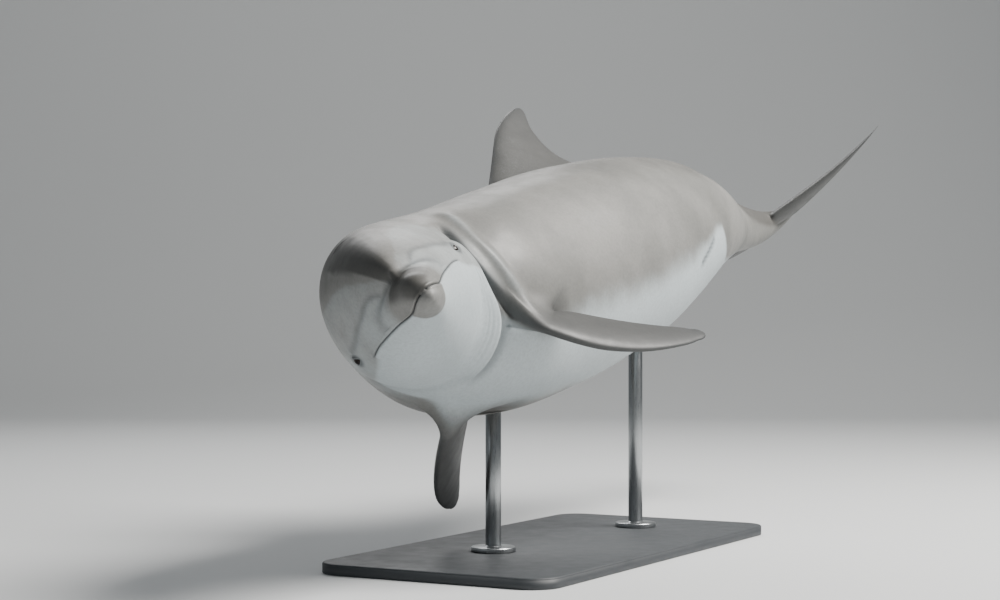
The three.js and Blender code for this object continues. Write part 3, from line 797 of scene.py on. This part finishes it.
def grid_faces(rows, columns, wrap):
    """Quads of a grid of points, closed round its columns if wrap is set."""
    row, column = np.meshgrid(np.arange(rows - 1), np.arange(columns - (not wrap)), indexing="ij")
    after = (column + 1) % columns
    quads = [row * columns + column, row * columns + after, (row + 1) * columns + after, (row + 1) * columns + column]
    return np.stack(quads, -1).reshape(-1, 4)


def linear(code):
    """A colour code such as #7d8a94 as linear red, green and blue."""
    value = np.array([int(code[i:i + 2], 16) for i in (1, 3, 5)]) / 255
    return tuple(np.where(value <= 0.04045, value / 12.92, ((value + 0.055) / 1.055) ** 2.4))


def new_material(name):
    """An empty node material with its Principled shader joined to the output."""
    material = bpy.data.materials.new(name)
    material.use_nodes = True
    tree = material.node_tree
    tree.nodes.clear()
    output = tree.nodes.new("ShaderNodeOutputMaterial")
    shader = tree.nodes.new("ShaderNodeBsdfPrincipled")
    tree.links.new(shader.outputs["BSDF"], output.inputs["Surface"])
    return material, tree, shader


def add(tree, kind, inputs=None, out=0, **settings):
    """Add a node with its settings; an input is a value or the socket it is linked from."""
    node = tree.nodes.new("ShaderNode" + kind)
    for key, value in settings.items():
        setattr(node, key, value)
    for key, value in (inputs or {}).items():
        if isinstance(value, bpy.types.NodeSocket):
            tree.links.new(value, node.inputs[key])
        else:
            node.inputs[key].default_value = value
    return node.outputs[out]


# ---- Materials -------------------------------------------------------------------------------


def skin_material(colours):
    """Cetacean skin, smooth and wet.

    It has no hair or scale: the eye sees soft shifts from the dark cape to the pale belly, fine pale
    scratches and pores, and a satin gloss from the film of water.
    """
    material, tree, shader = new_material("wet dolphin skin")
    where = add(tree, "TexCoord", out=3)
    cape, belly, dark = (add(tree, "Attribute", out=2, attribute_name=key) for key in ("cape", "belly", "dark"))

    def noise(scale, detail=4.0, rough=0.5):
        return add(tree, "TexNoise", {"Vector": where, "Scale": scale, "Detail": detail, "Roughness": rough})

    def ramp(value, low, high, a=0.0, b=1.0):
        return add(tree, "MapRange", {0: value, 1: low, 2: high, 3: a, 4: b}, interpolation_type="SMOOTHSTEP")

    def math(kind, a, b):
        return add(tree, "Math", {0: a, 1: b}, operation=kind)

    def mix(share, a, b):
        return add(tree, "Mix", {0: share, 6: a, 7: b}, out=2, data_type="RGBA")

    # cloudy edges about 60 mm across on the cape and the belly
    cloud = noise(14.0, 5.0, 0.6)
    shift = add(tree, "MapRange", {0: cloud, 1: 0.3, 2: 0.7, 3: -0.1, 4: 0.1})
    cape_edge = ramp(math("ADD", cape, shift), 0.05, 0.95)
    belly_edge = ramp(math("ADD", belly, shift), 0.05, 0.95)
    flank = mix(ramp(noise(5.0), 0.35, 0.7), (*colours.flank, 1), (*colours.flank_light, 1))
    colour = mix(cape_edge, flank, (*colours.cape, 1))
    # the pale belly and cheeks, and the painted highlight along the neck's ridge
    colour = mix(belly_edge, colour, (*colours.belly, 1))
    # mottling of a few millimetres
    mottle = ramp(noise(160.0, 6.0, 0.7), 0.35, 0.72, 0.0, 0.16)
    colour = mix(mottle, colour, (*colours.line, 1))
    # the dark share: mouth line, eye stripe, eye patch and fin tone, with painted shade in creases, folds, holes, slits
    # and on the fins' front edges
    colour = mix(math("MULTIPLY", dark, 0.92), colour, (*colours.line, 1))
    # pale rake marks along the body, 2 mm wide and a few to the hand's breadth
    stretched = add(tree, "Mapping", {"Vector": where, "Rotation": (0.0, 0.35, 0.5), "Scale": (16.0, 2.2, 16.0)})
    marks = add(tree, "TexNoise", {"Vector": stretched, "Scale": 14.0, "Detail": 2.0})
    thin = ramp(math("ABSOLUTE", math("SUBTRACT", marks, 0.5), 0.0), 0.0, 0.012, 1.0, 0.0)
    thin = math("MULTIPLY", thin, ramp(noise(4.0), 0.55, 0.68, 0.0, 0.16))
    colour = mix(thin, colour, (*colours.belly, 1))
    tree.links.new(colour, shader.inputs["Base Color"])
    rough = ramp(noise(30.0, 3.0), 0.3, 0.75, 0.47, 0.6)
    tree.links.new(rough, shader.inputs["Roughness"])
    shader.inputs["IOR"].default_value = 1.38
    shader.inputs["Coat Weight"].default_value = 0.12
    shader.inputs["Coat Roughness"].default_value = 0.25
    # pores under a millimetre are drawn at 2 mm so that they show at all
    fine = add(tree, "Bump", {"Strength": 0.12, "Distance": 0.0006, "Height": noise(480.0, 3.0)})
    soft = add(tree, "Bump", {"Strength": 0.25, "Distance": 0.002, "Height": noise(42.0, 4.0), "Normal": fine})
    tree.links.new(soft, shader.inputs["Normal"])
    return material


def eye_material(colours):
    """A dark brown eye under its clear cornea: black pupil, brown iris, and a wet sharp highlight."""
    material, tree, shader = new_material("wet eyeball")
    ring = add(tree, "Attribute", out=2, attribute_name="ring")
    where = add(tree, "TexCoord", out=3)
    fibres = add(tree, "TexNoise", {"Vector": where, "Scale": 900.0, "Detail": 3.0})
    iris = add(tree, "Mix", {0: fibres, 6: (*colours.iris, 1), 7: (*colours.pupil, 1)}, out=2, data_type="RGBA")
    edge = add(tree, "MapRange", {0: ring, 1: 0.30, 2: 0.36}, interpolation_type="SMOOTHSTEP")
    inside = add(tree, "Mix", {0: edge, 6: (*colours.pupil, 1), 7: iris}, out=2, data_type="RGBA")
    rim = add(tree, "MapRange", {0: ring, 1: 0.72, 2: 0.85}, interpolation_type="SMOOTHSTEP")
    colour = add(tree, "Mix", {0: rim, 6: inside, 7: (*colours.eye_white, 1)}, out=2, data_type="RGBA")
    tree.links.new(colour, shader.inputs["Base Color"])
    shader.inputs["Roughness"].default_value = 0.12
    shader.inputs["Specular IOR Level"].default_value = 0.25
    shader.inputs["IOR"].default_value = 1.38
    shader.inputs["Coat Weight"].default_value = 0.1
    shader.inputs["Coat Roughness"].default_value = 0.06
    return material


def coated_steel(stand):
    """Steel plate under matt powder coat: even dark grey with a fine orange-peel grain."""
    material, tree, shader = new_material("powder-coated steel")
    where = add(tree, "TexCoord", out=3)
    tone = add(tree, "TexNoise", {"Vector": where, "Scale": 6.0, "Detail": 3.0})
    dark, light = (*stand.plate_colour, 1), (*(c * 1.25 for c in stand.plate_colour), 1)
    colour = add(tree, "Mix", {0: tone, 6: dark, 7: light}, out=2, data_type="RGBA")
    tree.links.new(colour, shader.inputs["Base Color"])
    rough = add(tree, "TexNoise", {"Vector": where, "Scale": 24.0, "Detail": 3.0})
    spread = add(tree, "MapRange", {0: rough, 1: 0.3, 2: 0.7, 3: 0.46, 4: 0.6})
    tree.links.new(spread, shader.inputs["Roughness"])
    # the peel is about 1 mm across and is drawn at 2 mm so that it shows
    peel = add(tree, "TexNoise", {"Vector": where, "Scale": 500.0, "Detail": 2.0})
    bump = add(tree, "Bump", {"Strength": 0.3, "Distance": 0.0004, "Height": peel})
    tree.links.new(bump, shader.inputs["Normal"])
    return material


def brushed_steel(stand):
    """Round bar of stainless steel, brushed along its length: a grey metal with fine upright lines."""
    material, tree, shader = new_material("brushed stainless steel")
    where = add(tree, "TexCoord", out=3)
    lines = add(tree, "Mapping", {"Vector": where, "Scale": (1.0, 1.0, 0.02)})
    grain = add(tree, "TexNoise", {"Vector": lines, "Scale": 1400.0, "Detail": 2.0})
    shade = add(tree, "MapRange", {0: grain, 1: 0.3, 2: 0.7, 3: 0.24, 4: 0.38})
    tree.links.new(shade, shader.inputs["Roughness"])
    tone = (*stand.steel_colour, 1), (*(c * 0.8 for c in stand.steel_colour), 1)
    colour = add(tree, "Mix", {0: grain, 6: tone[0], 7: tone[1]}, out=2, data_type="RGBA")
    tree.links.new(colour, shader.inputs["Base Color"])
    shader.inputs["Metallic"].default_value = 1.0
    return material


def floor_material(stage):
    """A plain painted floor and wall: pale, matt, with only the faintest cloudiness."""
    material, tree, shader = new_material("matt floor paint")
    where = add(tree, "TexCoord", out=3)
    cloud = add(tree, "TexNoise", {"Vector": where, "Scale": 0.8, "Detail": 2.0})
    light, dark = (*stage.floor_colour, 1), (*(c * 0.97 for c in stage.floor_colour), 1)
    colour = add(tree, "Mix", {0: cloud, 6: light, 7: dark}, out=2, data_type="RGBA")
    tree.links.new(colour, shader.inputs["Base Color"])
    shader.inputs["Roughness"].default_value = 0.75
    return material


# ---- Settings --------------------------------------------------------------------------------


class DolphinShape(bpy.types.PropertyGroup):
    mouth_depth: bpy.props.FloatProperty(
        name="Mouth depth", description="Depth of the closed mouth's line in millimetres", default=3.6, min=0)
    lip_height: bpy.props.FloatProperty(
        name="Lip height", description="Height of the lips beside the mouth in millimetres", default=1.0, min=0)
    fold_depth: bpy.props.FloatProperty(
        name="Fold strength", description="How strongly the neck folds, as a factor", default=1.0, subtype="FACTOR")
    eye_length: bpy.props.FloatProperty(
        name="Eye length", description="Length of the opening between the lids", default=0.025, unit="LENGTH")
    eye_height: bpy.props.FloatProperty(
        name="Eye height", description="Height of the opening between the lids", default=0.015, unit="LENGTH")


def colour_property(name, description, code):
    """A colour setting whose default comes from a colour code."""
    return bpy.props.FloatVectorProperty(
        name=name, description=description, default=linear(code), subtype="COLOR", size=3, min=0, max=1)


class DolphinColours(bpy.types.PropertyGroup):
    cape: colour_property("Cape", "Dark back and the fins", "#595855")
    flank: colour_property("Flank", "Sides of the body", "#777774")
    flank_light: colour_property("Light flank", "Cloudy lighter parts of the sides", "#8b8a87")
    # this pale colour also paints the highlight along the ridge behind the neck's groove
    belly: colour_property("Belly", "Pale throat and belly", "#bcc5c8")
    # this colour also paints the shade in creases, folds, holes and slits
    line: colour_property("Lines", "Mouth line, eye stripe and the bottom of folds", "#272d32")
    iris: colour_property("Iris", "Brown ring of the eye", "#24170f")
    pupil: colour_property("Pupil", "Middle of the eye", "#060505")
    eye_white: colour_property("Eye white", "Rim of the eyeball", "#1d1715")


class StandSettings(bpy.types.PropertyGroup):
    plate_length: bpy.props.FloatProperty(name="Plate length", description="Along the trunk", default=1.1, unit="LENGTH")
    plate_width: bpy.props.FloatProperty(name="Plate width", description="Across the trunk", default=0.52, unit="LENGTH")
    plate_height: bpy.props.FloatProperty(name="Plate height", description="Thickness", default=0.022, unit="LENGTH")
    rod_radius: bpy.props.FloatProperty(name="Rod radius", description="Of both rods", default=0.016, unit="LENGTH")
    foot_radius: bpy.props.FloatProperty(name="Foot radius", description="Of both feet", default=0.046, unit="LENGTH")
    plate_colour: colour_property("Plate colour", "Powder coat of the plate", "#3a3d40")
    steel_colour: colour_property("Steel colour", "Rods and feet", "#b4b7b9")


class StageSettings(bpy.types.PropertyGroup):
    floor_colour: colour_property("Floor colour", "Paint of floor and wall", "#d8dadb")
    lens: bpy.props.FloatProperty(name="Lens", description="Focal length in millimetres", default=74.7, min=1)
    key_power: bpy.props.FloatProperty(name="Key light", description="Power of the main light", default=450.0, unit="POWER")
    fill_power: bpy.props.FloatProperty(name="Fill light", description="Power of the fill light", default=5.0, unit="POWER")


# ---- Operators -------------------------------------------------------------------------------

FLESH = (
    "upper_jaw", "lower_jaw", "head", "trunk", "tail_stock", "dorsal_fin",
    "flipper_left", "flipper_right", "fluke_left", "fluke_right",
)


def need_frame():
    """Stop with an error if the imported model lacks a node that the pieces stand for."""
    missing = [name for name in FLESH + ("eye_left", "eye_right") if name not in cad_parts]
    if missing:
        raise RuntimeError("the frame has no " + ", ".join(missing))


class DOLPHIN_OT_skin(bpy.types.Operator):
    """Make the one seamless skin, with its fins, folds, lids and markings"""

    bl_idname = "dolphin.skin"
    bl_label = "Skin"

    def execute(self, context):
        need_frame()
        skin = Skin(context.scene.dolphin_shape)

        def edges(reach, theta, cape, dark):
            """A fin's markings: dark all over and darkest at its tip, with painted shade along its front edge."""
            # the front edge is darkened as painted shade
            front = bell(np.arctan2(np.sin(theta), np.cos(theta)), 0.5)
            shade = np.clip(dark + 0.25 * reach**2 + 0.12 * front, 0, 1)
            return np.stack([np.full_like(shade, cape), np.zeros_like(shade), shade], -1)

        skin.fin((1248, 90, 250, 14), dorsal_fin, 0.37, lambda r, t: edges(r, t, 0.8, 0.4), (0, 0.72, 0.3, 0.26))
        for sign, left in ((1, 0.32), (-1, 0.54)):
            degrees = -53 if sign > 0 else 233
            skin.fin(
                (600, degrees, 105, 11.5), lambda r, t, s=sign: flipper(r, t, s), 0.13,
                lambda r, t: edges(r, t, 0.7, 0.48), (left, 0.72, 0.2, 0.26))
            skin.fin(
                (2292, 0 if sign > 0 else 180, 96, 42), lambda r, t, s=sign: fluke(r, t, s), 0.13,
                lambda r, t: edges(r, t, 0.8, 0.4), (left + 0.44, 0.72 if sign > 0 else 0.86, 0.2, 0.12))
        for sign, low in ((1, 0.72), (-1, 0.8)):
            skin.eyelids(sign, (0.31, low, 0.01, 0.07))
        skin.close_ends()
        piece = add_object("skin", skin.mesh("skin"), skin_material(context.scene.dolphin_colours))
        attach(piece, "root")
        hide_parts(*FLESH)
        return {"FINISHED"}


class DOLPHIN_OT_eyes(bpy.types.Operator):
    """Make both eyeballs, each with its cornea, iris and pupil"""

    bl_idname = "dolphin.eyes"
    bl_label = "Eyes"

    def execute(self, context):
        material = eye_material(context.scene.dolphin_colours)
        for sign, name in ((1, "eye_left"), (-1, "eye_right")):
            # a ball whose radius swells by the cornea near the axis of sight
            _, rows = spine_at(EYE_AT)
            sight = unit(sign * rows[1] - 0.28 * rows[0] - 0.05 * rows[2])
            across = unit(np.cross(sight, rows[2]))
            upward = np.cross(sight, across)
            away, turn = np.meshgrid(np.linspace(0.02, np.pi - 0.02, 40), np.arange(64) * np.pi / 32, indexing="ij")
            radius = EYE_RADIUS - 0.5 + 0.9 * bell(away, 0.5)
            ball = sight * np.cos(away)[..., None] + np.sin(away)[..., None] * (
                across * np.cos(turn)[..., None] + upward * np.sin(turn)[..., None])
            points = (eye_centre(sign) + ball * radius[..., None]).reshape(-1, 3)
            poles = eye_centre(sign) + sight * np.array([[EYE_RADIUS + 0.4], [0.5 - EYE_RADIUS]])
            rows_, columns = away.shape
            quads = grid_faces(rows_, columns, True)
            ring = np.arange(columns)
            end = ring + (rows_ - 1) * columns
            fans = np.concatenate([
                np.stack([ring, np.full(columns, len(points)), np.roll(ring, -1)], -1),
                np.stack([end, np.roll(end, -1), np.full(columns, len(points) + 1)], -1),
            ])
            mesh = mesh_from(name + "_ball", np.vstack([points, poles]), quads, fans)
            layer = mesh.attributes.new("ring", "FLOAT", "POINT")
            oval = np.hypot(away * np.cos(turn) * 0.8, away * np.sin(turn) * 1.3)
            layer.data.foreach_set("value", np.append(oval.ravel(), [0.0, 3.0]).astype(np.float32))
            add_uv(mesh, np.vstack([np.stack([turn / 6.3, away / 3.15], -1).reshape(-1, 2), [[0, 0], [0, 1]]]))
            piece = add_object(name + "_ball", mesh, material)
            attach(piece, "root")
            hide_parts(name)
        return {"FINISHED"}


class DOLPHIN_OT_stand(bpy.types.Operator):
    """Make the floor plate, the feet and the rods of the stand"""

    bl_idname = "dolphin.stand"
    bl_label = "Stand"

    def execute(self, context):
        stand = context.scene.dolphin_stand
        coat, steel = coated_steel(stand), brushed_steel(stand)
        # plate: a rounded oblong carried up a profile whose upper edge is a quarter round
        length, width = stand.plate_length / MM, stand.plate_width / MM
        height, corner, edge = stand.plate_height / MM, 60.0, 4.0
        quarter = np.linspace(0, np.pi / 2, 8)
        inset = np.concatenate([[corner, 2.0, 0.6, 0, 0], edge * (1 - np.cos(quarter)), [corner]])
        level = np.concatenate([[0, 0, 0.6, 2.0, height - edge], height - edge + edge * np.sin(quarter), [height]])
        turn = np.arange(96) * np.pi / 48 + np.pi / 96
        radius = corner - inset[:, None]
        x = np.sign(np.cos(turn)) * (length / 2 - corner) + radius * np.cos(turn)
        y = np.sign(np.sin(turn)) * (width / 2 - corner) + radius * np.sin(turn)
        angle = np.radians(61)
        points = np.stack([
            x * np.cos(angle) - y * np.sin(angle), x * np.sin(angle) + y * np.cos(angle),
            np.broadcast_to(level[:, None], x.shape),
        ], -1)
        middle = np.array([[0, 0, 0], [0, 0, height]], float)
        piece = add_object("stand_plate", revolved(points, middle, "stand_plate"), coat)
        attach(piece, "root")
        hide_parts("stand_base")
        for end, station in (("front", 790), ("rear", 1370)):
            low, high = (np.array(v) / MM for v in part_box("stand_foot_" + end))
            centre = (low + high) / 2
            top = np.array(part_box("stand_rod_" + end)[1]) / MM
            # foot: a disc with eased edges and a small weld bead where the rod stands
            foot = stand.foot_radius / MM
            rod = stand.rod_radius / MM
            profile = np.array([
                [foot - 1, low[2]], [foot, low[2] + 1], [foot, high[2] - 2.5], [foot - 0.8, high[2] - 0.7],
                [foot - 2.5, high[2]], [rod + 3.2, high[2]], [rod + 1.6, high[2] + 0.7], [rod + 0.2, high[2] + 2.6],
                [rod - 3, high[2] + 2.6],
            ])
            bar = np.array([
                [rod - 1, high[2] + 0.2], [rod, high[2] + 1.2], [rod, top[2] - 1.2], [rod - 1.2, top[2]],
            ])
            for name, outline_, node in (("foot", profile, "stand_foot_"), ("rod", bar, "stand_rod_")):
                turn = np.arange(64) * np.pi / 32
                points = np.stack([
                    centre[0] + outline_[:, :1] * np.cos(turn), centre[1] + outline_[:, :1] * np.sin(turn),
                    np.broadcast_to(outline_[:, 1:], (len(outline_), 64)),
                ], -1)
                ends = np.array([[*centre[:2], outline_[0, 1]], [*centre[:2], outline_[-1, 1]]])
                piece = add_object(f"stand_{end}_{name}", revolved(points, ends, name), steel)
                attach(piece, "root")
                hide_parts(node + end)
        return {"FINISHED"}


def revolved(points, middles, name):
    """A closed surface from rings of points, with a fan about a middle at the bottom and the top."""
    rows, columns = points.shape[:2]
    quads = grid_faces(rows, columns, True)
    ring, last = np.arange(columns), np.arange(columns) + (rows - 1) * columns
    count = rows * columns
    fans = np.concatenate([
        np.stack([ring, np.full(columns, count), np.roll(ring, -1)], -1),
        np.stack([last, np.roll(last, -1), np.full(columns, count + 1)], -1),
    ])
    return mesh_from(name, np.vstack([points.reshape(-1, 3), middles]), quads, fans)


class DOLPHIN_OT_stage(bpy.types.Operator):
    """Make the pale floor with its curved wall, the soft lights and the camera"""

    bl_idname = "dolphin.stage"
    bl_label = "Stage"

    def execute(self, context):
        scene = context.scene
        stage = scene.dolphin_stage
        # floor and wall: one profile of a flat, a quarter round and an upright, carried sideways
        bend = np.linspace(0, np.pi / 2, 24)
        y = np.concatenate([[-9000, -3000, 0, 4000], 5000 + 2500 * np.sin(bend), [7500, 7500]])
        z = np.concatenate([[0, 0, 0, 0], 2500 - 2500 * np.cos(bend), [4500, 9000]])
        x = np.linspace(-12000, 12000, 13)
        points = np.stack([
            np.broadcast_to(x, (len(y), len(x))), np.broadcast_to(y[:, None], (len(y), len(x))),
            np.broadcast_to(z[:, None], (len(y), len(x))),
        ], -1)
        mesh = mesh_from("floor", points.reshape(-1, 3), grid_faces(len(y), len(x), False))
        floor = add_object("floor", mesh, floor_material(stage))

        def area(name, place, target, size, power, colour):
            light = bpy.data.lights.new(name, "AREA")
            light.shape, light.size, light.size_y = "RECTANGLE", size[0], size[1]
            light.energy, light.color = power, colour
            holder = bpy.data.objects.new(name, light)
            scene.collection.objects.link(holder)
            holder.location = place
            aim = np.array(target) - np.array(place)
            from_z = unit(-aim)
            side = unit(np.cross([0, 0, 1], from_z))
            up = np.cross(from_z, side)
            holder.rotation_euler = matrix_from(side, up, from_z).to_euler()

        area("key", (2.5, -0.3, 3.7), (0, 0.1, 0.6), (2.2, 1.8), stage.key_power, (1.0, 0.97, 0.93))
        area("fill", (-3.4, -2.6, 1.8), (-0.2, -0.4, 0.5), (2.6, 2.0), stage.fill_power, (0.9, 0.95, 1.0))
        area("back", (-1.0, 3.6, 3.2), (0, 0.2, 0.6), (2.5, 1.5), 60.0, (1.0, 1.0, 1.0))
        world = bpy.data.worlds.new("studio")
        world.use_nodes = True
        background = world.node_tree.nodes["Background"]
        background.inputs["Color"].default_value = (*linear("#dfe6ea"), 1)
        background.inputs["Strength"].default_value = 0.22
        scene.world = world
        camera = bpy.data.cameras.new("camera")
        camera.lens = stage.lens
        camera.sensor_width = 36.0
        camera.clip_end = 60.0
        holder = bpy.data.objects.new("camera", camera)
        scene.collection.objects.link(holder)
        holder.location = (-0.1236, -4.4049, 0.5347)
        holder.rotation_euler = (np.pi / 2, 0, 0)
        scene.camera = holder
        return {"FINISHED"}


def matrix_from(x, y, z):
    """A rotation whose columns are these three directions."""
    from mathutils import Matrix

    return Matrix(np.stack([x, y, z], 1).tolist())


class DOLPHIN_PT_panel(bpy.types.Panel):
    """Lists the pieces and their settings in the sidebar"""

    bl_idname = "DOLPHIN_PT_panel"
    bl_label = "Dolphin"
    bl_space_type = "VIEW_3D"
    bl_region_type = "UI"
    bl_category = "Dolphin"

    def draw(self, context):
        layout = self.layout
        for piece in PIECES:
            layout.operator(piece.bl_idname)
        for key in GROUPS:
            group = getattr(context.scene, key)
            for name in group.__annotations__:
                layout.prop(group, name)


PIECES = (DOLPHIN_OT_skin, DOLPHIN_OT_eyes, DOLPHIN_OT_stand, DOLPHIN_OT_stage)
GROUPS = {
    "dolphin_shape": DolphinShape,
    "dolphin_colours": DolphinColours,
    "dolphin_stand": StandSettings,
    "dolphin_stage": StageSettings,
}


def register():
    for group in GROUPS.values():
        bpy.utils.register_class(group)
    for piece in (*PIECES, DOLPHIN_PT_panel):
        bpy.utils.register_class(piece)
    for key, group in GROUPS.items():
        setattr(bpy.types.Scene, key, bpy.props.PointerProperty(type=group))


def unregister():
    for key in GROUPS:
        delattr(bpy.types.Scene, key)
    for piece in (DOLPHIN_PT_panel, *reversed(PIECES), *GROUPS.values()):
        bpy.utils.unregister_class(piece)


def main():
    """Make every piece in order."""
    register()
    bpy.ops.dolphin.skin()
    bpy.ops.dolphin.eyes()
    bpy.ops.dolphin.stand()
    bpy.ops.dolphin.stage()


if __name__ == "__main__":
    main()
